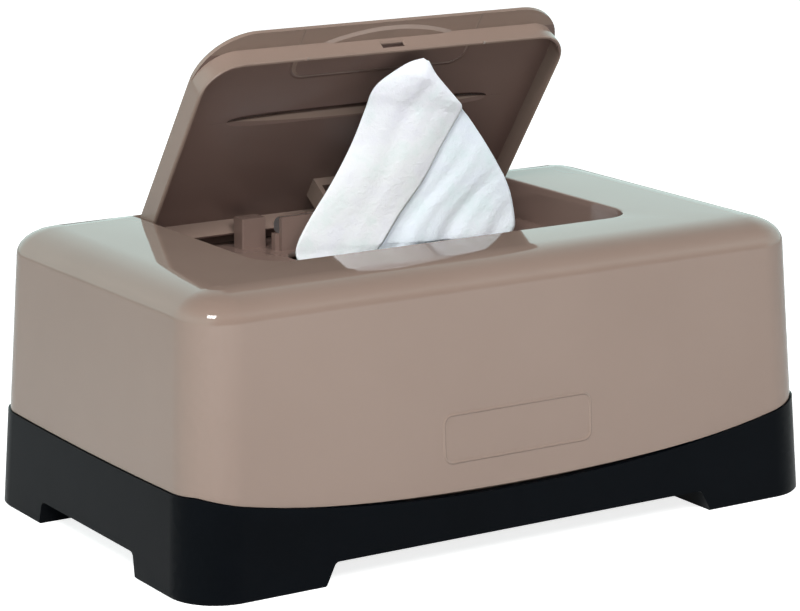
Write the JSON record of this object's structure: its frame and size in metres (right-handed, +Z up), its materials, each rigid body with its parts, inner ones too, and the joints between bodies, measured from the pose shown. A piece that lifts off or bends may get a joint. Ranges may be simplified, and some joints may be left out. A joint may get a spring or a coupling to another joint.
{
  "type": "baby wipes box",
  "caption": "Desktop wipes box with a crowned glossy cover on a black footed base, a sprung lid held open and a wipe drawn up through the slot.",
  "frame": {"origin": "middle of the box's footprint, on the plane that the feet stand on", "axes": "+X to the right seen from the front, +Y towards the hinge at the back, +Z up"},
  "size_m": [0.24, 0.147, 0.1608],
  "materials": {
    "glossy_taupe": "high gloss",
    "satin_black": "satin",
    "spring_steel": "rolled strip",
    "wipe_cloth": "soft non-woven cloth"
  },
  "bodies": {
    "base": {"base_tray": "satin_black", "wipe_stack": "wipe_cloth"},
    "shell": {"top_shell": "glossy_taupe", "lid_spring": "spring_steel", "pulled_wipe": "wipe_cloth"},
    "lid": {"lid": "glossy_taupe"}
  },
  "joints": [
    {"name": "shell_lift", "type": "slide", "parent": "base", "child": "shell", "axis": [0, 0, 1], "range_m": [0, 0.06]},
    {"name": "lid_hinge", "type": "hinge", "parent": "shell", "child": "lid", "pos_m": [0, 0.0505, 0.0902], "axis": [1, 0, 0], "range_deg": [0, 54.8], "stiffness_Nm_per_rad": 0.02, "springref_deg": -57.3, "deforming": ["pulled_wipe"]}
  ]
}
